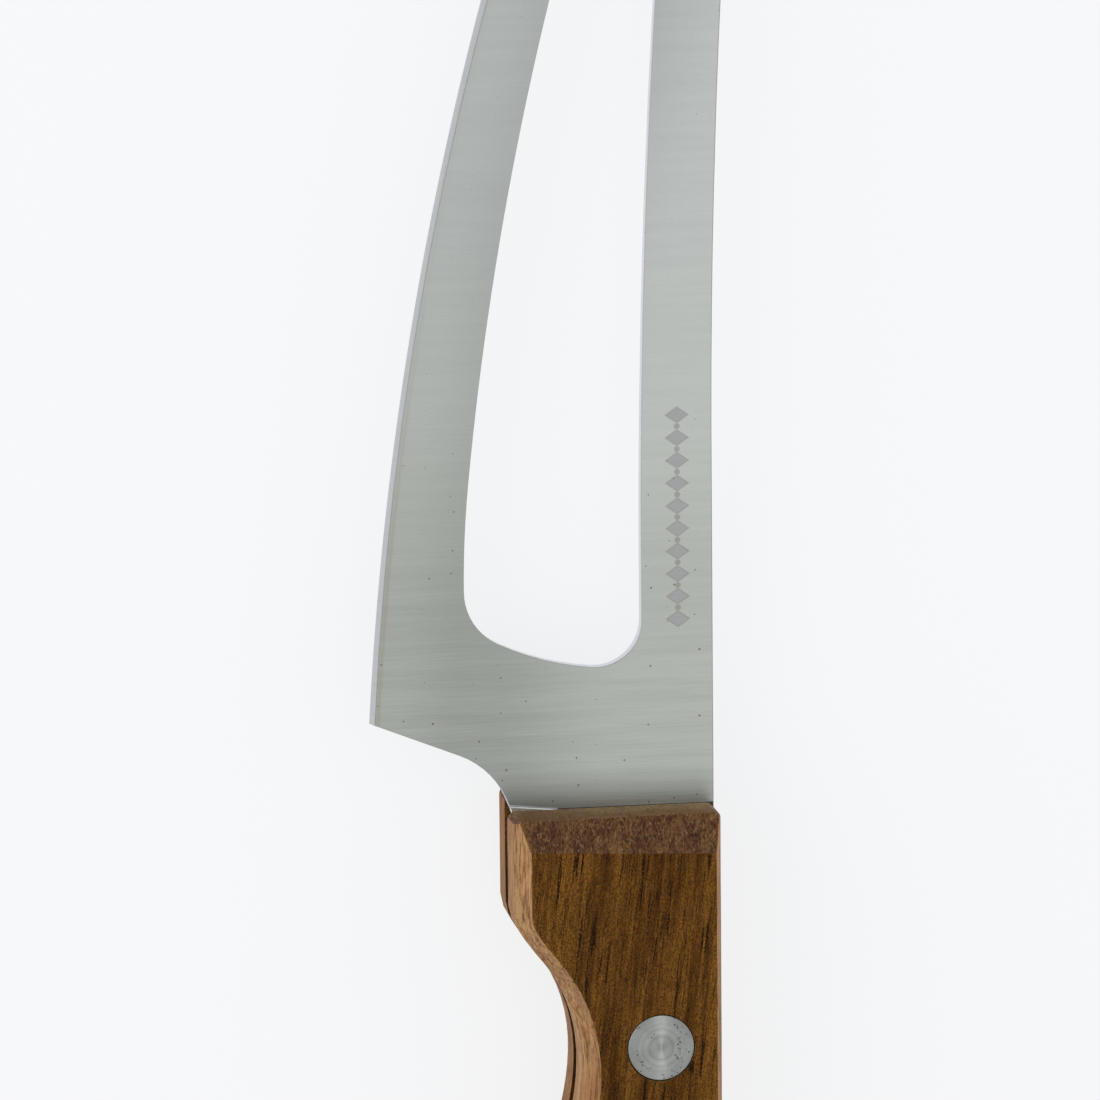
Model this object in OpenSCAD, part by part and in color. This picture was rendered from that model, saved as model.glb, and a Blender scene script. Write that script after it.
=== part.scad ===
// Soft-cheese knife: an open steel blade with a forked tip, riveted between two wooden scales.
// It lies on the flat face of its back scale, with the origin under the middle of its outline.
// X points towards the spine, Y towards the tip and Z up.
// The outlines are drawn from the corner where the spine meets the front end of the wood.

/* [Blade] */
// Width of the blade at its heel
heel_w = 37.1; // [36.9:0.1:37.4]
// Distance of the heel's corner in front of the wood
heel_y = 10.1; // [9.8:0.1:10.6]
// Radius of the cutting edge
edge_r = 374; // [373:1:376]
// Place along the knife where the edge's curve would run parallel to the spine
edge_mid_y = -13.7; // [-14:0.1:-13.2]
// Place along the knife where the belly begins
belly_y = 100; // [99.5:0.5:101]
// Radius of the belly
belly_r = 150; // [149:1:153]
// Place along the knife where the spine begins to curve
spine_y = 38; // [36:0.5:40]
// Radius of the spine's long curve
spine_r = 936; // [915:1:955]
// Place along the knife where the tip begins to sweep up
sweep_y = 112; // [111:0.5:113]
// Radius of the upswept tip
sweep_r = 87; // [85:0.5:89]
// Thickness of the steel
steel_t = 1.8; // [1.75:0.05:2]
// Loss of half thickness per millimetre from the spine towards the edge
grind_x = 0.015; // [0.013:0.001:0.015]
// Loss of half thickness per millimetre towards the tip
grind_y = 0.0024; // [0.002:0.0001:0.0026]
// Angle of the sharpened bevel to the middle plane
bevel_angle = 23; // [21:0.5:25]
// Thickness left at the very edge
edge_t = 0.12; // [0.08:0.01:0.16]
// Place along the knife where the sharpened bevel ends
bevel_end_y = 126; // [122:1:128]

/* [Window] */
// Width of the spine's limb beside the window
limb_w = 7.75; // [7.5:0.05:8]
// Radius of the window's right lower corner
window_right_r = 4.9; // [4.6:0.1:5.2]
// Radius of the window's bottom
window_bottom_r = 30; // [28:1:32]
// Radius of the window's left lower corner
window_left_r = 6.4; // [6.1:0.1:6.7]
// Radius of the window's upper end
window_top_r = 2.2; // [2:0.1:2.4]

/* [Fork] */
// Radius of the notch's bottom
notch_r = 2.2; // [2:0.05:2.4]
// Lean of the notch's side next to the belly, from the Y axis
notch_belly_lean = 24; // [23:0.5:25]
// Lean of the notch's side next to the spine, from the Y axis
notch_spine_lean = 38; // [37:0.5:39]
// Radius of the prongs' points
prong_r = 0.7; // [0.6:0.05:0.8]

/* [Handle] */
// Length of the front scale
handle_l = 108; // [106:0.5:112]
// Width of the front end of the wood
guard_w = 22.5; // [22.2:0.1:22.8]
// Width at the finger notch
waist_w = 15.25; // [15.1:0.05:15.6]
// Width at the palm
palm_w = 23; // [22:0.5:24]
// Width at the neck in front of the butt
neck_w = 18.6; // [18:0.2:19.4]
// Width at the butt
butt_w = 23.4; // [22.8:0.2:24]
// Thickness of each scale
scale_t = 7.3; // [7:0.1:7.6]
// Width of the chamfer along the cutting side
side_chamfer_w = 1.5; // [1.3:0.1:1.7]
// Width of the chamfer along the spine side
spine_chamfer_w = 1.1; // [1:0.1:1.3]
// Depth of the chamfers along the sides
side_chamfer_h = 3.4; // [3:0.1:3.8]
// Length of the slope at the front end
front_slope_l = 4.1; // [3.8:0.1:4.4]
// Depth of the slope at the front end
front_slope_h = 2.9; // [2.6:0.1:3.2]
// Skew of the slope at the front end
front_slope_skew = 2.6; // [2:0.1:3]
// Radius of the corners of the front end
front_corner_r = 1; // [0.8:0.1:1.2]
// How far the back scale reaches past the front one
back_overhang = 1.5; // [1.3:0.1:1.7]
// Depth of the groove between the scales, where the tang is narrower than the wood
groove_d = 1.3; // [1.1:0.1:1.5]

/* [Rivets] */
// Diameter of the rivets' heads
head_d = 7.2; // [7:0.1:7.4]
// Thickness of the heads
head_t = 1.8; // [1.6:0.1:2]
// Diameter of the hollow half's sleeve
sleeve_d = 4; // [3.8:0.1:4.2]
// Diameter of the solid half's post
post_d = 2.6; // [2.5:0.05:2.7]
// Gap between a head and the wood around it
head_gap = 0.1; // [0.08:0.01:0.15]
// Gap between a sleeve and the hole in the tang
tang_gap = 0.1; // [0.08:0.01:0.15]
// Place of the first rivet behind the front end
rivet_y = 25; // [24.5:0.1:25.5]
// Distance between rivets
rivet_pitch = 31; // [30.5:0.1:31.5]

/* [Hidden] */

rim_clear = 0.05;   // how far the bevelled rim stands outside the blade's outline
bevel_span = 3;     // width of the bevelled rim before it meets the flats
reach = 300;        // half size of the blocks that cut the blade and the wood
wood_margin = 10;   // how far those blocks stand outside the wood
steel_h = steel_t / 2;
face_z = steel_h + scale_t;   // height of a scale's flat face over the middle plane

// Unit vector along v
function unit(v) = v / norm(v);

// Points on an arc about c, from angle a to angle b
function arc(c, r, a, b, n) = [for (i = [0:n]) let (t = a + (b - a) * i / n) c + r * [cos(t), sin(t)]];

// Direction of p seen from c, from 0 to 360
function bearing(c, p) = (atan2(p.y - c.y, p.x - c.x) + 360) % 360;

// Where a line from p along unit vector d crosses a circle: side -1 on the way in, 1 on the way out
function line_circle(p, d, c, r, side) =
    let (m = p - c, b = m * d) p + d * (side * sqrt(b * b - m * m + r * r) - b);

// Where two circles cross, on the left of the way from a to b
function circle_circle(a, ra, b, rb) =
    let (d = norm(b - a), u = unit(b - a), s = (ra * ra - rb * rb + d * d) / (2 * d))
    a + u * s + [-u.y, u.x] * sqrt(ra * ra - s * s);

// Arc of radius r that rounds the corner k between a and b
function fillet(a, k, b, r, n) =
    let (u = unit(a - k), v = unit(b - k), half = acos(u * v) / 2,
         c = k + unit(u + v) * r / sin(half),
         s = bearing(c, k + u * r / tan(half)), e = bearing(c, k + v * r / tan(half)),
         turn = (e - s + 540) % 360 - 180)
    arc(c, r, s, s + turn, n);

// ---- The blade's outline ----

edge_c = [sqrt(edge_r * edge_r - pow(heel_y - edge_mid_y, 2)) - heel_w, edge_mid_y];
belly_a = 180 - asin((belly_y - edge_c.y) / edge_r);
belly_c = edge_c + (edge_r - belly_r) * [cos(belly_a), sin(belly_a)];
heel = [-heel_w, heel_y];

spine_c = [spine_r, spine_y];
sweep_a = 180 - asin((sweep_y - spine_y) / spine_r);
sweep_c = spine_c + (spine_r - sweep_r) * [cos(sweep_a), sin(sweep_a)];

notch_c = [0.2, 131];   // middle of the notch's round bottom
tip_1 = line_circle(notch_c + (notch_r + prong_r) * [cos(notch_spine_lean), -sin(notch_spine_lean)],
                    [sin(notch_spine_lean), cos(notch_spine_lean)], sweep_c, sweep_r + prong_r, -1);
tip_2 = line_circle(notch_c + (notch_r + prong_r) * [-cos(notch_belly_lean), sin(notch_belly_lean)],
                    [sin(notch_belly_lean), cos(notch_belly_lean)], belly_c, belly_r - prong_r, 1);

heel_corner = [-23.5, 4.6];        // where the heel's lines would meet without their fillet
heel_fillet_r = 9;
tang_front = [0.4 - guard_w, 0];   // where the heel's line goes under the wood

spine_edge = concat(
    arc(spine_c, spine_r, 180, sweep_a, 24),
    arc(sweep_c, sweep_r, sweep_a, bearing(sweep_c, tip_1), 12));
fork_edge = concat(
    arc(tip_1, prong_r, bearing(tip_1, sweep_c) - 360, 180 - notch_spine_lean, 16),
    arc(notch_c, notch_r, -notch_spine_lean, -180 - notch_belly_lean, 24),
    arc(tip_2, prong_r, -notch_belly_lean, bearing(belly_c, tip_2), 16));
cutting_edge = concat(
    arc(belly_c, belly_r, bearing(belly_c, tip_2), belly_a, 24),
    arc(edge_c, edge_r, belly_a, bearing(edge_c, heel), 40));

// ---- The window's outline ----

limb_y = 25;                 // where the window's right side begins to curve
limb_r = 960;                // radius of that curve
right_c = [-limb_w - window_right_r, 20.2];
bottom_a = 264;              // where the right corner becomes the bottom
left_a = 244;                // where the bottom becomes the left corner
bottom_c = right_c + (window_right_r - window_bottom_r) * [cos(bottom_a), sin(bottom_a)];
left_c = bottom_c + (window_bottom_r - window_left_r) * [cos(left_a), sin(left_a)];
lower_side_r = 110;          // radius of the lower left side
lower_side_a = 174;          // where the lower left side becomes the long left side
side_r = 351;                // radius of the long left side
lower_side_c = left_c + [lower_side_r - window_left_r, 0];
side_c = lower_side_c + (side_r - lower_side_r) * [-cos(lower_side_a), -sin(lower_side_a)];
limb_c = [limb_r - limb_w, limb_y];
top_c = circle_circle(side_c, side_r - window_top_r, limb_c, limb_r + window_top_r);

window_outline = concat(
    arc(right_c, window_right_r, bottom_a, 360, 14),
    arc(limb_c, limb_r, 180, bearing(limb_c, top_c), 32),
    arc(top_c, window_top_r, bearing(top_c, limb_c) - 360, bearing(side_c, top_c), 20),
    arc(side_c, side_r, bearing(side_c, top_c), lower_side_a, 32),
    arc(lower_side_c, lower_side_r, lower_side_a, 180, 6),
    arc(left_c, window_left_r, 180, left_a, 10),
    arc(bottom_c, window_bottom_r, left_a, bottom_a, 6));

// ---- The handle's outline ----

// Stations of the cutting side: distance behind the front end, width and slope
stations = [[0, guard_w, 0], [10.2, guard_w, 0], [16.2, 19.1, -0.77], [27.5, waist_w, 0],
            [60, palm_w, 0], [88, neck_w, 0], [handle_l - 5, butt_w, 0]];

// Smooth curve between two stations
function blend(p, q, s) =
    let (l = q[0] - p[0], t = (s - p[0]) / l)
    p[1] + (q[1] - p[1]) * t * t * (3 - 2 * t) + l * t * (1 - t) * (p[2] * (1 - t) - q[2] * t);

// Width of the handle at a distance s behind its front end
function handle_w(s) =
    s <= 0 ? guard_w
    : [for (i = [1:len(stations) - 1])
           if (s > stations[i - 1][0] && s <= stations[i][0]) blend(stations[i - 1], stations[i], s)][0];

beak_r = 5;    // radius of the butt's corner on the cutting side
butt_r = 9;    // radius of the butt's corner on the spine side
step = 1.5;    // distance between the points of the handle's curve
lead = 6;      // wood drawn past the front end, and then cut off
butt_s = handle_l - beak_r;

handle_outline = concat(
    [for (s = [-lead, for (i = [stations[1][0]:step:butt_s - step / 2]) i]) [-handle_w(s), -s]],
    arc([beak_r - butt_w, -butt_s], beak_r, 180, 270, 9),
    arc([-butt_r, butt_r - handle_l], butt_r, 270, 360, 12),
    [[0, lead]]);

tang_end = handle_l - 8;   // how far the tang reaches into the handle
tang_edge = [for (s = [2.4, for (i = [6:2:tang_end - 4]) i]) [groove_d - handle_w(s), -s]];
tang_end_edge = fillet([groove_d - handle_w(tang_end - 4), 4 - tang_end],
                       [groove_d - handle_w(tang_end - 4), -tang_end], [0, -tang_end], 3, 6);

blade_outline = concat(
    spine_edge, fork_edge, cutting_edge,
    fillet(heel, heel_corner, tang_front, heel_fillet_r, 8),
    [tang_front], tang_edge, tang_end_edge, [[0, -tang_end]]);

// ---- Where the outlines lie on the origin ----

low = [-heel_w, -handle_l];
high = [tip_1.x + prong_r, tip_2.y + prong_r];
middle = (low + high) / 2;

rivets = [for (i = [0:2]) let (s = rivet_y + i * rivet_pitch) [0.45 - handle_w(s) / 2, -s]];

// Moves a child from the outlines' corner to the knife's own origin
module placed() {
    translate([-middle.x, -middle.y, face_z]) children();
}

// Block whose flat lies under the ground face of the blade
module ground_below() {
    slope = norm([1, grind_x, grind_y]);
    translate([0, 0, steel_h])
        rotate([-asin(grind_y / slope), -atan(grind_x), 0])
            translate([-reach, -reach, -reach])
                cube([2 * reach, 2 * reach, reach]);
}

// Disc with a sharpened rim
module bevelled_disc(c, r) {
    rim = r + rim_clear;
    rise = edge_t / 2 + bevel_span * tan(bevel_angle);
    translate([c.x, c.y, 0])
        rotate_extrude($fn = 720)
            polygon([[0, -rise], [rim - bevel_span, -rise], [rim, -edge_t / 2],
                     [rim, edge_t / 2], [rim - bevel_span, rise], [0, rise]]);
}

// Block on the tip's side of the line where the belly begins
module beyond_belly() {
    translate([edge_c.x, edge_c.y, 0])
        rotate([0, 0, belly_a])
            translate([0, -reach * 2, -reach])
                cube([reach * 2, reach * 2, reach * 2]);
}

// The room inside the sharpened rim, which is open at the tip, where the bevel ends
module sharpened() {
    difference() {
        bevelled_disc(edge_c, edge_r);
        difference() {
            beyond_belly();
            bevelled_disc(belly_c, belly_r);
        }
    }
    translate([-reach, bevel_end_y, -steel_t])
        cube([reach * 2, reach, steel_t * 2]);
}

// The full thickness of the steel, up to the slanted line where the grind begins
module unground() {
    plunge = [[-heel_w, 2.1], [-17, 0], [reach, 0]];
    translate([0, 0, -steel_t])
        linear_extrude(height = steel_t * 2)
            polygon(concat(plunge, [[reach, -reach], [-heel_w, -reach]]));
}

module blade() {
    color("silver") placed() difference() {
        intersection() {
            translate([0, 0, -steel_h]) linear_extrude(height = steel_t) polygon(blade_outline);
            union() {
                unground();
                intersection() {
                    ground_below();
                    mirror([0, 0, 1]) ground_below();
                    sharpened();
                }
            }
        }
        translate([0, 0, -steel_t]) linear_extrude(height = steel_t * 2) polygon(window_outline);
        for (p = rivets) translate([p.x, p.y, -steel_t])
            cylinder(d = sleeve_d + 2 * tang_gap, h = steel_t * 2, $fn = 48);
    }
}

// Cross-section of a scale's side: how many chamfer widths it stands in from the outline, and its height.
// It runs past the scale's two flat faces, which are cut afterwards.
side_profile = [[0, 0], [0, face_z - side_chamfer_h], [2, face_z + side_chamfer_h]];

// Width of the chamfer at a point of the outline: it narrows round the butt towards the spine side
function chamfer_w(p) = side_chamfer_w + (spine_chamfer_w - side_chamfer_w) * max(0, 1 + p.x / butt_r);

// Unit vector into the outline at its point i, where the outline is open between its last and first points
function inward(pts, i) = let (d = unit(pts[min(i + 1, len(pts) - 1)] - pts[max(i - 1, 0)])) [-d.y, d.x];

module scale_body() {
    n = len(handle_outline);
    rows = len(side_profile);
    points = [for (s = side_profile) for (i = [0:n - 1])
                  let (q = handle_outline[i], p = q + s[0] * chamfer_w(q) * inward(handle_outline, i))
                  [p.x, p.y, s[1]]];
    sides = [for (k = [0:rows - 2]) for (i = [0:n - 1])
                 let (a = k * n + i, b = k * n + (i + 1) % n)
                 each [[a, a + n, b + n], [a, b + n, b]]];
    bottom = [for (i = [0:n - 1]) i];
    top = [for (i = [n - 1:-1:0]) (rows - 1) * n + i];
    polyhedron(points, concat([bottom, top], sides));
}

// Flat slab that a scale is cut from, with its front end at front_y and its front corners rounded
module slab(front_y) {
    r = front_corner_r;
    ease = 0.05;   // how far the corners' arcs cross the sides
    left = -guard_w - wood_margin;
    translate([0, 0, steel_h])
        linear_extrude(height = scale_t)
            polygon(concat(
                [[left, front_y - r]],
                arc([r - ease - guard_w, front_y - r], r, 180, 90, 8),
                arc([ease - r, front_y - r], r, 90, 0, 8),
                [[wood_margin, front_y - r], [wood_margin, -reach], [left, -reach]]));
}

// One scale above the tang, with its front end at front_y
module wood(front_y) {
    angle = atan(front_slope_h / front_slope_l);
    difference() {
        intersection() {
            scale_body();
            slab(front_y);
        }
        translate([0, front_y, face_z - front_slope_h])
            rotate([0, 0, -front_slope_skew]) rotate([-angle, 0, 0])
                translate([-guard_w - wood_margin, -20, 0]) cube([guard_w + 2 * wood_margin, 40, 20]);
        for (p = rivets) translate([p.x, p.y, 0]) {
            cylinder(d = sleeve_d, h = 20, $fn = 48);
            translate([0, 0, face_z - head_t]) cylinder(d = head_d + 2 * head_gap, h = 20, $fn = 64);
        }
    }
}

module front_scale() {
    color("saddlebrown") placed() wood(0);
}

module back_scale() {
    color("sienna") placed() mirror([0, 0, 1]) wood(back_overhang);
}

// Solid half of a rivet: its head is flush with the front scale, and its post, which is rooted half way up
// the head, stops one head's thickness short of the back head
module rivet_post(p) {
    color("gainsboro") placed() translate([p.x, p.y, 0]) {
        translate([0, 0, face_z - head_t]) cylinder(d = head_d, h = head_t, $fn = 64);
        translate([0, 0, 2 * head_t - face_z])
            cylinder(d = post_d, h = 2 * face_z - 2.5 * head_t, $fn = 48);
    }
}

// Hollow half of a rivet: its head is flush with the back scale
module rivet_sleeve(p) {
    sleeve_l = 2 * (face_z - head_t);
    color("gray") placed() translate([p.x, p.y, -face_z]) difference() {
        union() {
            cylinder(d = head_d, h = head_t, $fn = 64);
            cylinder(d = sleeve_d, h = head_t + sleeve_l, $fn = 48);
        }
        translate([0, 0, head_t]) cylinder(d = post_d, h = sleeve_l + 1, $fn = 48);
    }
}

blade();
front_scale();
back_scale();
for (i = [0:2]) {
    rivet_post(rivets[i]);
    rivet_sleeve(rivets[i]);
}
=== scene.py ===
"""Looks of a soft-cheese knife: a skeleton blade riveted between two wooden scales.

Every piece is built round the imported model, in metres: X towards the spine, Y towards the tip, Z up.
Materials are worked out in millimetres.
"""

import math

import bmesh
import bpy
from mathutils import Matrix, Vector


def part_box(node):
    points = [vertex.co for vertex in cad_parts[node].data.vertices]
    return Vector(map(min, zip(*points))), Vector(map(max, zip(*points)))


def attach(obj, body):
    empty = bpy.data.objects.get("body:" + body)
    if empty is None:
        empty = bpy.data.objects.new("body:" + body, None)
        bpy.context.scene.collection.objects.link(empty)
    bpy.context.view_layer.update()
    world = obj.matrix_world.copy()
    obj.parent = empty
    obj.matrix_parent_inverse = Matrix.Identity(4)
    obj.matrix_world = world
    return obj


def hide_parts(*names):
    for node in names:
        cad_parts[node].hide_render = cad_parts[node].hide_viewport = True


MM = 0.001
BODY = "root"

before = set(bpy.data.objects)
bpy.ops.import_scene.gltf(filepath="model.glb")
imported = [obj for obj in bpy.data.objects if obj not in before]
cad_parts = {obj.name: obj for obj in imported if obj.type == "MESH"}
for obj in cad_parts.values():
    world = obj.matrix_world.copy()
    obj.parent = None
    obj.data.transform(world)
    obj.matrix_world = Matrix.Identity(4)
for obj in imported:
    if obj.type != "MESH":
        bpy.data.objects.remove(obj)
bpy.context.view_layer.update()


def middle(node):
    """The middle of a CAD node's box."""
    return sum(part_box(node), Vector()) / 2


STEEL_Z = middle("blade").z     # height of the steel's middle plane


# ---- Camera ----

AIM = Vector((-2.9, 10.6, 8.2)) * MM     # point of the knife at the middle of the picture
DISTANCE = 638.3 * MM                    # from the aim to the camera
LEAN_X = math.radians(9.3)               # how far the camera stands over towards the cutting edge
LEAN_Y = math.radians(10.5)              # how far it stands over towards the tip
ROLL = math.radians(-0.6)
SENSOR_MM = 36
LENS_MM = 196.4


def add_camera():
    """A long lens that looks almost straight down on the knife."""
    level = math.cos(LEAN_Y)
    back = Vector((-math.sin(LEAN_X) * level, math.sin(LEAN_Y), math.cos(LEAN_X) * level))
    right = Vector((0, 1, 0)).cross(back).normalized()
    up = back.cross(right)
    turn = Matrix((right, up, back)).transposed() @ Matrix.Rotation(ROLL, 3, "Z")
    data = bpy.data.cameras.new("camera")
    data.sensor_width = SENSOR_MM
    data.lens = LENS_MM
    camera = bpy.data.objects.new("camera", data)
    camera.matrix_world = Matrix.Translation(AIM + DISTANCE * back) @ turn.to_4x4()
    bpy.context.collection.objects.link(camera)
    bpy.context.scene.camera = camera


# ---- Node graphs ----

class Graph:
    """Builds the nodes of one material. A value is a number, a tuple or another node's output."""

    def __init__(self, name):
        self.material = bpy.data.materials.new(name)
        self.material.use_nodes = True
        self.nodes = self.material.node_tree.nodes
        self.links = self.material.node_tree.links
        self.nodes.clear()
        self.normal = self.node("ShaderNodeNewGeometry").outputs["Normal"]
        place = self.node("ShaderNodeTexCoord").outputs["Object"]
        self.mm = self.vector("SCALE", place, scale=1 / MM)

    def put(self, socket, value):
        """Links an output to a socket, or sets the socket's own value."""
        if isinstance(value, bpy.types.NodeSocket):
            self.links.new(value, socket)
        else:
            socket.default_value = value

    def node(self, kind, settings=None, **inputs):
        """Adds a node. Inputs are given by name, with _ for a space."""
        made = self.nodes.new(kind)
        for key, value in (settings or {}).items():
            setattr(made, key, value)
        for key, value in inputs.items():
            self.put(made.inputs[key.replace("_", " ")], value)
        return made

    def math(self, operation, a, b=0.0):
        """One step of arithmetic, by the name that Blender gives it."""
        made = self.node("ShaderNodeMath", {"operation": operation})
        self.put(made.inputs[0], a)
        self.put(made.inputs[1], b)
        return made.outputs[0]

    def vector(self, operation, a, b=(0, 0, 0), scale=1.0):
        """One step of vector arithmetic. LENGTH gives a number, and the others give a vector."""
        made = self.node("ShaderNodeVectorMath", {"operation": operation})
        self.put(made.inputs[0], a)
        if operation == "SCALE":
            self.put(made.inputs["Scale"], scale)
        else:
            self.put(made.inputs[1], b)
        return made.outputs["Value" if operation == "LENGTH" else "Vector"]

    def split(self, vector):
        """The three parts of a vector or colour."""
        return self.node("ShaderNodeSeparateXYZ", Vector=vector).outputs

    def join(self, x, y, z):
        """The vector with these three parts."""
        return self.node("ShaderNodeCombineXYZ", X=x, Y=y, Z=z).outputs[0]

    def turned(self, vector, angles, shift):
        """The vector turned by Euler angles and then shifted."""
        return self.node("ShaderNodeMapping", Vector=vector, Rotation=angles, Location=shift).outputs[0]

    def noise(self, vector, stretch, detail=2.0, roughness=0.5, warp=0.0):
        """Noise from 0 to 1 with so many features per millimetre along each axis."""
        place = self.vector("MULTIPLY", vector, stretch)
        made = self.node("ShaderNodeTexNoise", Vector=place, Scale=1.0, Detail=detail, Roughness=roughness,
                         Distortion=warp)
        return made.outputs["Fac"]

    def cells(self, vector, per_mm, dimensions="3D"):
        """Distance from the nearest cell's point, and that cell's random value."""
        place = self.vector("SCALE", vector, scale=per_mm)
        settings = {"voronoi_dimensions": dimensions}
        made = self.node("ShaderNodeTexVoronoi", settings, Vector=place, Scale=1.0)
        return made.outputs["Distance"], self.split(made.outputs["Color"])[0]

    def band(self, value, low, high, start=0.0, end=1.0):
        """Goes smoothly from start to end as the value goes from low to high."""
        made = self.node("ShaderNodeMapRange", {"interpolation_type": "SMOOTHSTEP"}, Value=value)
        for socket, number in zip(("From Min", "From Max", "To Min", "To Max"), (low, high, start, end)):
            self.put(made.inputs[socket], number)
        return made.outputs[0]

    def mix(self, factor, a, b, blend="MIX"):
        """Mixes two colours, given as linear red, green and blue or as outputs."""
        made = self.node("ShaderNodeMix", {"data_type": "RGBA", "blend_type": blend})
        self.put(made.inputs["Factor"], factor)
        for socket, colour in ((made.inputs[6], a), (made.inputs[7], b)):
            self.put(socket, (*colour, 1) if isinstance(colour, tuple) else colour)
        return made.outputs[2]

    def paint(self, colour, mask, strength, over):
        """The colour with another painted over it at some strength, where the mask is 1."""
        return self.mix(self.math("MULTIPLY", mask, strength), colour, over)

    def shade(self, colour, factor):
        """The colour multiplied by a number."""
        return self.mix(1.0, colour, self.join(factor, factor, factor), "MULTIPLY")

    def bump(self, height, depth):
        """A normal bumped by a height from 0 to 1 that stands for so many millimetres."""
        return self.node("ShaderNodeBump", Height=height, Distance=depth * MM, Strength=1.0).outputs[0]

    def finish(self, **inputs):
        """Adds the surface shader, and returns the material."""
        shader = self.node("ShaderNodeBsdfPrincipled", **inputs)
        output = self.node("ShaderNodeOutputMaterial")
        self.links.new(shader.outputs[0], output.inputs[0])
        return self.material


# ---- Steel ----

STEEL_WARM = (0.507, 0.535, 0.493)
STEEL_COOL = (0.512, 0.540, 0.526)
BEVEL_TONE = (0.385, 0.395, 0.41)
PIT = (0.16, 0.10, 0.06)
TARNISH = (0.36, 0.32, 0.22)
# painted shade along the spine's arrises
SPINE_SHADE = (0.22, 0.15, 0.12)
# painted reflection of the pale surroundings on the upright walls
WALL_PAINTED_REFLECTION = (0.66, 0.67, 0.72)
POLISHED = (0.70, 0.74, 0.71)
# painted shade against the wood and on the tang between the scales
PAINTED_SHADE = (0.07, 0.062, 0.052)
ETCH_RIM = (0.34, 0.30, 0.27)
ETCH_CORE = (0.50, 0.51, 0.51)

# Places on the blade, in mm
EDGE_R = 374.0             # the cutting edge is an arc about EDGE_C
EDGE_C = (350.65, -31.2)
BEVEL_W = 0.66             # width of the sharpened bevel
TARNISH_LAG = 0.25         # how far behind the bevel the line of tarnish runs, and its half width
TARNISH_HALF = 0.35
WOOD_Y = -17.5             # front end of the wood
MARK_X = (9.4, 12.1)       # etched band on the spine's limb, across and along the knife
MARK_Y = (1.5, 26.0)
MARK_STEP = 2.45           # one figure of the band
MARK_TAPER = 2.6           # a lozenge reaches 1 / MARK_TAPER of a step to either side of its middle
DOT_FADE = (0.34, 0.28)    # radii between which a dot fades in
RIM_FADE = (1.0, 0.94)     # the same for a lozenge and then for its core, as shares of its size
CORE_FADE = (0.82, 0.76)
POLISH_X = -2.5            # unground steel in front of the wood: where its wedge ends,
POLISH_SLOPE = 0.105       # and how fast it widens towards the cutting edge
PITS_PER_MM = 0.38         # cells per mm, some of which hold a pit
STEEL_RELIEF = 0.003

# Brush lines: features per mm across, along and through the blade
FINE_BRUSH = (0.05, 10.0, 10.0)
BROAD_BRUSH = (0.05, 1.1, 1.1)

# Slow changes over the blade: from and to in mm, and the values there
COOLER = (0.0, 60.0)                                # along Y: the steel's colour, warm to cool
BRUSH_WEAR = (25.0, WOOD_Y, 1.0, 2.3)               # along Y: strength of the brush lines
DARKER_LIMB = (1.5, 10.0, 1.0, 0.86)                  # from the cutting edge: brightness of its limb,
BRIGHT_SPINE = (12.0, 27.0, 1.0, 1.28)              # and of the spine's limb
DARKER_HEEL = (2.0, 28.0, 0.88, 1.0)                  # along Y: brightness of the heel,
PAINTED_WOOD_REFLECTION = (WOOD_Y - 1, WOOD_Y + 6, 0.71, 1.0)  # and in front of the wood, where it is a painted reflection of the wood
SMALL_PITS = (30.0, 0.0, 0.4, 1.0)                  # along Y: size of the pits
FADED_TARNISH = (50.0, -7.0, 0.06, 0.40)            # along Y: strength of the tarnish


def inside_edge(g):
    """Distance from the cutting edge into the blade, in mm."""
    x, y, _ = g.split(g.mm)
    arm = g.join(g.math("SUBTRACT", x, EDGE_C[0]), g.math("SUBTRACT", y, EDGE_C[1]), 0.0)
    return g.math("SUBTRACT", EDGE_R, g.vector("LENGTH", arm))


def etched_mark(g, x, y):
    """A generic band of lozenges, with a small dot between each two: all of it, and its cores."""
    across = g.math("ABSOLUTE", g.math("SUBTRACT", x, sum(MARK_X) / 2))
    steps = g.math("DIVIDE", g.math("SUBTRACT", y, MARK_Y[0]), MARK_STEP)
    along = g.math("ABSOLUTE", g.math("SUBTRACT", g.math("FRACT", steps), 0.5))
    length = MARK_Y[1] - MARK_Y[0]
    off_middle = g.math("ABSOLUTE", g.math("SUBTRACT", y, sum(MARK_Y) / 2))
    row = g.math("LESS_THAN", off_middle, length / 2)
    inner_row = g.math("LESS_THAN", off_middle, (length - MARK_STEP) / 2)
    half_w = (MARK_X[1] - MARK_X[0]) / 2
    reach = g.math("ADD", g.math("DIVIDE", across, half_w), g.math("MULTIPLY", along, MARK_TAPER))
    off_dot = g.math("MULTIPLY", g.math("SUBTRACT", 0.5, along), MARK_STEP)
    dot = g.vector("LENGTH", g.join(across, off_dot, 0.0))
    lozenge = g.math("MULTIPLY", g.band(reach, *RIM_FADE), row)
    core = g.math("MULTIPLY", g.band(reach, *CORE_FADE), row)
    dots = g.math("MULTIPLY", g.band(dot, *DOT_FADE), inner_row)
    return g.math("MAXIMUM", lozenge, dots), core


def steel_tone(g, y, edge, fine, broad):
    """How bright the steel is: brush lines, a bright spine's limb, and darker steel towards the handle,
    which next to the wood is a painted reflection of it.
    """
    lines = g.math("ADD", g.band(fine, 0.25, 0.75, -0.06, 0.06), g.band(broad, 0.3, 0.7, -0.02, 0.02))
    tone = g.math("ADD", g.math("MULTIPLY", lines, g.band(y, *BRUSH_WEAR)), 1.0)
    for value, change in ((edge, DARKER_LIMB), (edge, BRIGHT_SPINE), (y, DARKER_HEEL), (y, PAINTED_WOOD_REFLECTION)):
        tone = g.math("MULTIPLY", tone, g.band(value, *change))
    return tone


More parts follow.
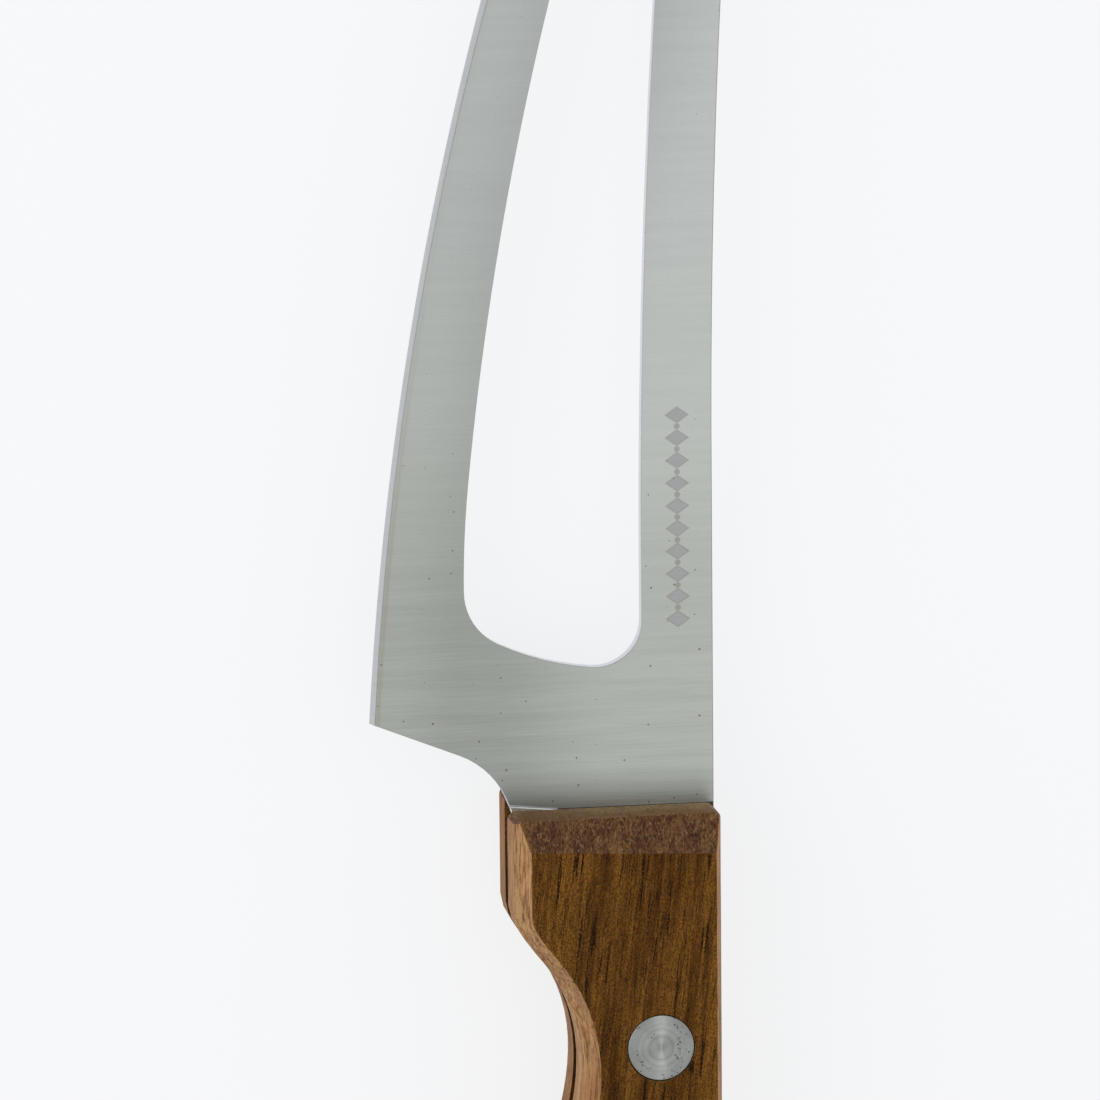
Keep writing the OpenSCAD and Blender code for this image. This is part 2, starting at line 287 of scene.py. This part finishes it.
def steel_pits(g, y):
    """Small pits in some of the cells, smaller towards the tip."""
    distance, luck = g.cells(g.mm, PITS_PER_MM, "2D")
    size = g.math("MULTIPLY", g.band(luck, 0.35, 1.0, 0.0, 0.045), g.band(y, *SMALL_PITS))
    return g.math("LESS_THAN", distance, size)


def tarnish_line(g, y, edge):
    """A line of tarnish just behind the bevel."""
    off_line = g.math("ABSOLUTE", g.math("SUBTRACT", edge, BEVEL_W + TARNISH_LAG))
    return g.math("MULTIPLY", g.band(off_line, TARNISH_HALF, 0.0), g.band(y, *FADED_TARNISH))


def polished_wedge(g, x, y):
    """The unground sliver in front of the wood."""
    wedge = g.math("MULTIPLY", g.math("SUBTRACT", POLISH_X, x), POLISH_SLOPE)
    before = g.math("SUBTRACT", g.math("SUBTRACT", y, WOOD_Y), wedge)
    return g.math("MULTIPLY", g.band(before, 0.04, 0.0), g.math("LESS_THAN", x, POLISH_X))


def painted_shade_at_wood(g, x, y):
    """Painted shade in the corner against the wood, and over the tang in the gap between the scales."""
    corner = g.band(y, WOOD_Y + 0.15, WOOD_Y + 0.03)
    corner = g.math("MULTIPLY", corner, g.math("GREATER_THAN", x, POLISH_X))
    tang = g.band(y, WOOD_Y - 0.3, WOOD_Y - 0.6, 0.0, 0.85)
    return g.math("MAXIMUM", corner, tang)


def ground_bevel(g, nx, tilt):
    """The bevels, which tilt a little towards the cutting edge."""
    return g.math("MULTIPLY", g.band(tilt, 0.985, 0.95), g.band(nx, -0.1, -0.25))


def spine_arris(g, x, nx, tilt):
    """The rounded arrises along the spine, which tilt away from the cutting edge."""
    arris = g.math("MULTIPLY", g.band(tilt, 0.985, 0.93), g.band(tilt, 0.1, 0.3))
    arris = g.math("MULTIPLY", arris, g.band(nx, 0.12, 0.3))
    return g.math("MULTIPLY", arris, g.math("GREATER_THAN", x, MARK_X[1]))


def brushed_steel():
    """Satin steel brushed across the blade, etched, pitted and tarnished by the bevel, with painted shade at
    the wood and on the tang, painted reflections on its walls and in front of the wood, and painted shade
    along the spine.
    """
    g = Graph("brushed_steel")
    x, y, _ = g.split(g.mm)
    nx, _, nz = g.split(g.normal)
    tilt = g.math("ABSOLUTE", nz)
    edge = inside_edge(g)
    fine = g.noise(g.mm, FINE_BRUSH, detail=5.0, roughness=0.75)
    broad = g.noise(g.mm, BROAD_BRUSH, detail=3.0, roughness=0.6)
    etched, core = etched_mark(g, x, y)
    pit = steel_pits(g, y)
    polished = polished_wedge(g, x, y)

    colour = g.mix(g.band(y, *COOLER), STEEL_WARM, STEEL_COOL)
    colour = g.shade(colour, steel_tone(g, y, edge, fine, broad))
    colour = g.mix(ground_bevel(g, nx, tilt), colour, BEVEL_TONE)
    colour = g.paint(colour, etched, 0.40, ETCH_RIM)
    colour = g.paint(colour, core, 0.70, ETCH_CORE)
    colour = g.paint(colour, pit, 0.75, PIT)
    colour = g.mix(tarnish_line(g, y, edge), colour, TARNISH)
    colour = g.mix(polished, colour, POLISHED)
    # the upright walls get a paler bluish colour, a painted reflection of the bright surroundings
    colour = g.mix(g.band(tilt, 0.8, 0.3), colour, WALL_PAINTED_REFLECTION)
    # painted shade in the corner at the wood and on the tang
    colour = g.mix(painted_shade_at_wood(g, x, y), colour, PAINTED_SHADE)
    # painted shade on the arrises along the spine
    colour = g.paint(colour, spine_arris(g, x, nx, tilt), 0.75, SPINE_SHADE)

    rough = g.math("ADD", g.band(fine, 0.3, 0.7, 0.30, 0.40), g.math("MULTIPLY", etched, 0.12))
    rough = g.math("SUBTRACT", rough, g.math("MULTIPLY", polished, 0.1))
    height = g.math("SUBTRACT", fine, g.math("ADD", g.math("MULTIPLY", pit, 2.0), etched))
    return g.finish(Base_Color=colour, Metallic=1.0, Roughness=rough, Anisotropic=0.7,
                    Tangent=g.join(0.0, 1.0, 0.0), Normal=g.bump(height, STEEL_RELIEF))


# ---- Wood ----

FACE_GOLD = (0.225, 0.096, 0.016)
FACE_BROWN = (0.068, 0.024, 0.003)
FACE_DARK = (0.012, 0.005, 0.002)
SIDE_LIGHT = (0.50, 0.288, 0.132)
SIDE_TAN = (0.33, 0.167, 0.068)
SIDE_RED = (0.17, 0.060, 0.022)
SIDE_DASH = (0.11, 0.042, 0.019)
END_BROWN = (0.145, 0.072, 0.030)
END_PURPLE = (0.075, 0.031, 0.017)
END_FLECK = (0.30, 0.20, 0.085)
END_OLIVE = (0.31, 0.215, 0.115)
# painted shade for the back scale's sides
BACK_SIDE_SHADE = (0.60, 0.48, 0.36)

GRAIN_DIP = math.radians(1.5)   # how far the fibres dip below the face
WOOD_RELIEF = 0.015             # in mm

# Features per mm across, along and through the grain
SLOW_FIGURE = (0.22, 0.012, 0.22)
QUICK_FIGURE = (1.15, 0.035, 1.15)
FIBRE = (6.5, 0.8, 6.5)
SPECK = (7.4, 4.4, 7.4)
VESSEL = (1.9, 0.11, 1.9)
HAIR = (3.2, 0.15, 3.2)
SIDE_LINE = (2.6, 0.16, 2.6)
END_PATCH = (0.75, 0.3, 0.5)
END_GRIT = (4.6, 1.7, 2.6)
END_SCRATCH = (5.5, 1.3, 2.2)


def face_grain(g, figure, fibre, specks, streaks):
    """The flat faces: gold and brown, with dark specks and streaks."""
    colour = g.mix(g.band(figure, 0.36, 0.64), FACE_BROWN, FACE_GOLD)
    colour = g.shade(colour, g.band(fibre, 0.25, 0.75, 0.62, 1.44))
    colour = g.paint(colour, specks, 0.52, FACE_DARK)
    return g.paint(colour, streaks, 0.94, FACE_DARK)


def side_grain_and_light(g, grain, figure, specks, streaks, depth):
    """The sides and their chamfers: paler, partly from their grain and partly as painted light from the
    sides, with red lines and dark dashes.
    """
    line = g.noise(grain, SIDE_LINE, detail=3.0, roughness=0.65)
    colour = g.mix(g.band(figure, 0.38, 0.62), SIDE_TAN, SIDE_LIGHT)
    colour = g.mix(g.band(line, 0.47, 0.66, 0.0, 0.8), colour, SIDE_RED)
    marks = g.math("MAXIMUM", g.math("MULTIPLY", specks, 0.22), g.math("MULTIPLY", streaks, 0.8))
    colour = g.mix(marks, colour, SIDE_DASH)
    # painted shade on the sides, as strong as the depth
    return g.mix(depth, colour, g.mix(1.0, colour, BACK_SIDE_SHADE, "MULTIPLY"))


def end_grain(g, grain, ny):
    """The ends: purple and brown with pale flecks, and a front wall that is olive near the steel."""
    patch = g.noise(grain, END_PATCH, detail=3.0, roughness=0.6)
    grit = g.noise(grain, END_GRIT, detail=3.0, roughness=0.75)
    scratch = g.noise(g.vector("ADD", grain, (7, 1, 3)), END_SCRATCH, detail=2.0, roughness=0.7, warp=0.6)
    colour = g.mix(g.band(patch, 0.30, 0.70), END_PURPLE, END_BROWN)
    colour = g.shade(colour, g.band(grit, 0.3, 0.7, 0.42, 1.68))
    colour = g.paint(colour, g.band(scratch, 0.56, 0.67), 0.65, END_FLECK)
    x, _, z = g.split(g.mm)
    off_steel = g.math("ABSOLUTE", g.math("SUBTRACT", z, STEEL_Z / MM))
    worn = g.math("MULTIPLY", g.band(off_steel, 1.5, 5.0, 1.0, 0.35), g.band(x, -7.0, 3.0, 0.45, 1.0))
    olive = g.mix(g.band(patch, 0.4, 0.7, 0.0, 0.5), END_OLIVE, END_BROWN)
    olive = g.mix(worn, END_BROWN, olive)
    olive = g.shade(olive, g.band(grit, 0.3, 0.7, 0.65, 1.35))
    return g.mix(g.band(ny, 0.70, 0.97), colour, olive)


def wood(name, lean, shift, depth):
    """Oiled open-pored wood, with fibres that lean so many degrees from Y.

    The shift moves the figure, and a depth from 0 to 1 paints shade on the sides.
    """
    g = Graph(name)
    grain = g.turned(g.mm, (GRAIN_DIP, 0, math.radians(lean)), shift)
    slow = g.noise(grain, SLOW_FIGURE)
    quick = g.noise(grain, QUICK_FIGURE, detail=3.0, roughness=0.65, warp=0.2)
    figure = g.math("ADD", g.math("MULTIPLY", slow, 0.45), g.math("MULTIPLY", quick, 0.55))
    fibre = g.noise(grain, FIBRE, detail=4.0, roughness=0.75)
    speck = g.noise(grain, SPECK, detail=0.5)
    specks = g.band(speck, 0.38, 0.66)
    vessel = g.noise(grain, VESSEL, roughness=0.6)
    hair = g.noise(g.vector("ADD", grain, (11, 3, 17)), HAIR, roughness=0.6)
    gaps = g.band(speck, 0.30, 0.50, 0.5, 1.0)
    vessels = g.math("MULTIPLY", g.band(vessel, 0.58, 0.66), gaps)
    hairs = g.math("MULTIPLY", g.band(hair, 0.55, 0.66), g.math("MULTIPLY", gaps, 0.6))
    streaks = g.math("MAXIMUM", vessels, hairs)

    _, ny, nz = g.split(g.normal)
    face = face_grain(g, figure, fibre, specks, streaks)
    side = side_grain_and_light(g, grain, figure, specks, streaks, depth)
    # the sides take the paler side colours: partly their grain, partly painted light
    colour = g.mix(g.band(g.math("ABSOLUTE", nz), 0.80, 0.50), face, side)
    end = g.math("MAXIMUM", g.band(ny, 0.35, 0.52), g.band(ny, -0.75, -0.92))
    colour = g.mix(end, colour, end_grain(g, grain, ny))

    height = g.math("SUBTRACT", g.math("MULTIPLY", fibre, 0.5), g.math("MAXIMUM", specks, streaks))
    return g.finish(Base_Color=colour, Roughness=g.band(figure, 0.3, 0.7, 0.48, 0.58),
                    Specular_IOR_Level=0.04, Normal=g.bump(height, WOOD_RELIEF))


# ---- Rivet metal ----

RIVET = (0.355, 0.37, 0.35)
RIVET_PIT = (0.07, 0.065, 0.07)
RIVET_PITS_PER_MM = 3.2
RIVET_RELIEF = 0.004       # in mm

# Features per mm, outwards for the rings
FINE_RINGS = (8.0, 1.0, 1.0)
BROAD_RINGS = (2.0, 1.0, 1.0)
CLOUD = (0.5, 0.5, 0.5)


def rivet_pits(g, radius):
    """Clusters of small pits, more of them towards the head's rim."""
    distance, luck = g.cells(g.mm, RIVET_PITS_PER_MM)
    patch = g.noise(g.vector("ADD", g.mm, (5, 2, 0)), CLOUD, detail=1.0)
    outer = g.band(radius, 1.2, 2.4, 0.0, 0.09)
    pit = g.math("MULTIPLY", g.band(distance, 0.42, 0.26), g.band(luck, 0.25, 0.45))
    return g.math("MULTIPLY", pit, g.band(g.math("ADD", patch, outer), 0.605, 0.665))


def turned_metal():
    """A faced head: rings round its own axis, painted highlight wedges at two sides, and clusters of small
    dark pits.
    """
    g = Graph("turned_metal")
    x, y, _ = g.split(g.mm)
    flat = g.join(x, y, 0.0)
    radius = g.vector("LENGTH", flat)
    fine = g.noise(g.join(radius, 0.0, 0.0), FINE_RINGS, detail=3.0, roughness=0.8)
    broad = g.noise(g.join(radius, 4.0, 0.0), BROAD_RINGS, detail=1.0)
    cloud = g.noise(g.mm, CLOUD)
    tone = g.math("ADD", g.band(fine, 0.3, 0.7, -0.17, 0.17), g.band(broad, 0.3, 0.7, -0.10, 0.10))
    tone = g.math("ADD", tone, g.band(cloud, 0.3, 0.7, 0.92, 1.08))
    # painted highlight: brighter above and below the middle, darker to the sides
    sideways = g.math("ABSOLUTE", g.math("DIVIDE", x, g.math("ADD", radius, 0.1)))
    tone = g.math("MULTIPLY", tone, g.band(sideways, 0.45, 0.05, 0.95, 1.11))
    pit = rivet_pits(g, radius)
    colour = g.paint(g.shade(RIVET, tone), pit, 0.8, RIVET_PIT)
    height = g.math("SUBTRACT", fine, pit)
    return g.finish(Base_Color=colour, Metallic=1.0, Roughness=0.30, Anisotropic=0.85,
                    Tangent=g.vector("NORMALIZE", flat), Normal=g.bump(height, RIVET_RELIEF))


# ---- Pieces ----

WELD = 0.02 * MM                # points closer than this are one point
FLAT_ANGLE = 0.006              # faces that meet at less than this are one face, in radians
ARRIS_ANGLE = math.radians(12)  # faces that meet at more than this have a rounded arris between them
ARRIS_STEPS = 3
STEEL_ARRIS = 0.12 * MM
WOOD_ARRIS = 0.25 * MM
EDGE_SHARE = 0.3                # share of the steel's rounding on the cutting edge,
FULL_ABOVE = 0.6 * MM           # which is whole this far from the steel's middle plane
RIVET_SHARE = 0.15              # share of the wood's rounding round a rivet

RIVETS = (1, 2, 3)
HEAD_R = 3.6 * MM
HEAD_T = 1.8 * MM
POST_R = 1.3 * MM
SLEEVE_R = 2.0 * MM
HEAD_RIM = 0.12 * MM            # radius of a head's rounded rim
RING_STEP = 0.3 * MM            # between the turned rings of a head
RING_POINTS = 4
RING_DEPTH = 0.008 * MM
DOME = 0.05 * MM                # how far a head's rim lies below its middle
PIP_R = 0.28 * MM
PIP_H = 0.03 * MM
TURNS = 96                      # sides of a turned piece
SHARP_TURN = math.radians(40)   # a turned piece is shaded as sharp past this angle


def show(mesh, name, material, nodes, place=(0, 0, 0)):
    """Adds a piece that stands for some CAD nodes and rides on the knife's only body."""
    piece = bpy.data.objects.new(name, mesh)
    piece.location = place
    bpy.context.collection.objects.link(piece)
    mesh.materials.clear()
    mesh.materials.append(material)
    mesh.shade_smooth()
    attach(piece, BODY)
    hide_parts(*nodes)
    return piece


def softened(node, name, material, width, weigh):
    """A CAD node's shape with its flats merged, and its arrises rounded to weigh(place, way) of a width."""
    form = bmesh.new()
    form.from_mesh(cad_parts[node].data)
    bmesh.ops.remove_doubles(form, verts=form.verts, dist=WELD)
    bmesh.ops.dissolve_limit(form, angle_limit=FLAT_ANGLE, verts=form.verts, edges=form.edges)
    weights = form.edges.layers.float.new("bevel_weight_edge")
    for edge in form.edges:
        if edge.is_manifold and edge.calc_face_angle() > ARRIS_ANGLE:
            start, stop = (vert.co for vert in edge.verts)
            edge[weights] = weigh((start + stop) / 2, stop - start)
            edge.smooth = edge[weights] > 0
    mesh = bpy.data.meshes.new(name)
    form.to_mesh(mesh)
    form.free()
    if "custom_normal" in mesh.attributes:
        mesh.attributes.remove(mesh.attributes["custom_normal"])
    piece = show(mesh, name, material, [node])
    bevel = piece.modifiers.new("arrises", "BEVEL")
    bevel.width = width
    bevel.segments = ARRIS_STEPS
    bevel.limit_method = "WEIGHT"
    bevel.use_clamp_overlap = False
    bevel.loop_slide = False    # a corner that slides along a nearly parallel edge becomes a spike
    piece.modifiers.new("shading", "WEIGHTED_NORMAL").keep_sharp = True


def blade_arris(place, _):
    """The cutting edge stays keener than the arrises away from the steel's middle plane."""
    return EDGE_SHARE + (1 - EDGE_SHARE) * min(1, abs(place.z - STEEL_Z) / FULL_ABOVE)


def scale_arris(place, way):
    """The arrises against the tang stay sharp, and those round the rivets almost so."""
    low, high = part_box("blade")
    upright = way.xy.length < WELD
    if upright or low.z - WELD < place.z < high.z + WELD:
        return 0
    for i in RIVETS:
        if (place - middle(f"rivet_{i}_post")).xy.length < HEAD_R * 1.2:
            return RIVET_SHARE
    return 1


def head_profile():
    """Points (radius, depth below the top) across a head, from its middle pip to its rounded rim."""
    pip = [(0, 0), (PIP_R * 0.6, 0.2 * PIP_H), (PIP_R, PIP_H)]
    rings = []
    steps = int((HEAD_R * 0.95 - PIP_R) / RING_STEP)
    for i in range(1, steps * RING_POINTS):
        r = PIP_R + i * RING_STEP / RING_POINTS
        wave = RING_DEPTH * (1 - math.cos(2 * math.pi * i / RING_POINTS)) / 2
        rings.append((r, PIP_H + DOME * (r / HEAD_R) ** 2 + wave))
    corner = [(HEAD_R - HEAD_RIM * (1 - math.sin(a)), PIP_H + DOME + HEAD_RIM * (1 - math.cos(a)))
              for a in (math.radians(t) for t in (0, 30, 60, 90))]
    return pip + rings + corner


def lathe(name, profile):
    """A closed mesh turned round Z from (radius, height) points. A first or last radius of 0 is a pole."""
    form = bmesh.new()
    turn = 2 * math.pi / TURNS
    rings = []
    for r, z in profile:
        sides = 1 if r == 0 else TURNS
        places = [(r * math.cos(k * turn), r * math.sin(k * turn), z) for k in range(sides)]
        rings.append([form.verts.new(place) for place in places])
    loops = list(zip(rings, rings[1:]))
    if len(rings[0]) > 1:
        loops.append((rings[-1], rings[0]))
    for a, b in loops:
        for k in range(TURNS):
            corners = [a[k % len(a)], a[(k + 1) % len(a)], b[(k + 1) % len(b)], b[k % len(b)]]
            form.faces.new(list(dict.fromkeys(corners)))
    bmesh.ops.recalc_face_normals(form, faces=form.faces)
    mesh = bpy.data.meshes.new(name)
    form.to_mesh(mesh)
    form.free()
    return mesh


def rivet_half(node, side, material):
    """One half of a rivet: the post has its head on top (side 1), and the sleeve below (side -1)."""
    low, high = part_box(node)
    length = high.z - low.z
    head = [(r, -depth) for r, depth in head_profile()]
    if side > 0:
        stem = [(HEAD_R, -HEAD_T), (POST_R, -HEAD_T), (POST_R, -length), (0, -length)]
    else:
        stem = [(HEAD_R, -HEAD_T), (SLEEVE_R, -HEAD_T), (SLEEVE_R, -length), (POST_R, -length),
                (POST_R, -HEAD_T), (0, -HEAD_T)]
    profile = [(r, side * z) for r, z in head + stem]
    x, y, _ = middle(node)
    place = (x, y, high.z if side > 0 else low.z)
    piece = show(lathe(node, profile), "turned_" + node, material, [node], place)
    piece.data.set_sharp_from_angle(angle=SHARP_TURN)


def add_pieces():
    """One refined piece for each CAD node."""
    softened("blade", "ground_blade", brushed_steel(), STEEL_ARRIS, blade_arris)
    front_wood = wood("front_wood", lean=6.5, shift=(0, 0, 0), depth=0.0)
    softened("front_scale", "shaped_front_scale", front_wood, WOOD_ARRIS, scale_arris)
    # the back scale's sides get painted shade
    back_wood = wood("back_wood", lean=-3.0, shift=(40, 90, 25), depth=0.5)
    softened("back_scale", "shaped_back_scale", back_wood, WOOD_ARRIS, scale_arris)
    metal = turned_metal()
    for i in RIVETS:
        rivet_half(f"rivet_{i}_post", 1, metal)
        rivet_half(f"rivet_{i}_sleeve", -1, metal)


# ---- Stage ----

WHITE_LIGHT = (0.98, 0.99, 1, 1)
WORLD_GLOW = 0.64
FLOOR_SIZE = 6.0
FLOOR_TONE = (0.18, 0.18, 0.185, 1)
FLOOR_GLOW = 0.79          # the floor is a light table, so that shadows almost vanish

# Soft lights: place, size across and along the knife, in metres, and power in watts
LIGHTS = {
    "left_softbox": ((-0.75, 0.1, 0.5), (0.9, 1.2), 3.2),
    "right_softbox": ((0.95, 0.0, 0.4), (0.9, 1.2), 1.6),
    "overhead_strip": ((0.2, 0.0, 1.2), (0.22, 2.0), 0.7),
}


def add_floor():
    """A pale floor under the flat of the back scale."""
    mesh = bpy.data.meshes.new("floor")
    half = FLOOR_SIZE / 2
    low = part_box("back_scale")[0].z
    corners = [(-half, -half, low), (half, -half, low), (half, half, low), (-half, half, low)]
    mesh.from_pydata(corners, [], [(0, 1, 2, 3)])
    floor = bpy.data.objects.new("floor", mesh)
    bpy.context.collection.objects.link(floor)
    g = Graph("pale_floor")
    mesh.materials.append(g.finish(Base_Color=FLOOR_TONE, Roughness=0.9, Specular_IOR_Level=0.1,
                                   Emission_Color=WHITE_LIGHT, Emission_Strength=FLOOR_GLOW))


def add_light(name, place, size, power):
    """A wide area light that leans towards the knife from its place."""
    data = bpy.data.lights.new(name, "AREA")
    data.shape = "RECTANGLE"
    data.size, data.size_y = size
    data.energy = power
    light = bpy.data.objects.new(name, data)
    light.location = place
    light.rotation_euler = (0, math.atan2(place[0], place[2]), 0)
    bpy.context.collection.objects.link(light)


def add_stage():
    """The floor, the world's even light and the soft lights."""
    add_floor()
    world = bpy.data.worlds.new("studio")
    world.use_nodes = True
    background = world.node_tree.nodes["Background"]
    background.inputs["Color"].default_value = WHITE_LIGHT
    background.inputs["Strength"].default_value = WORLD_GLOW
    bpy.context.scene.world = world
    for name, (place, size, power) in LIGHTS.items():
        add_light(name, place, size, power)
    bpy.context.scene.view_settings.view_transform = "Standard"


add_camera()
add_pieces()
add_stage()
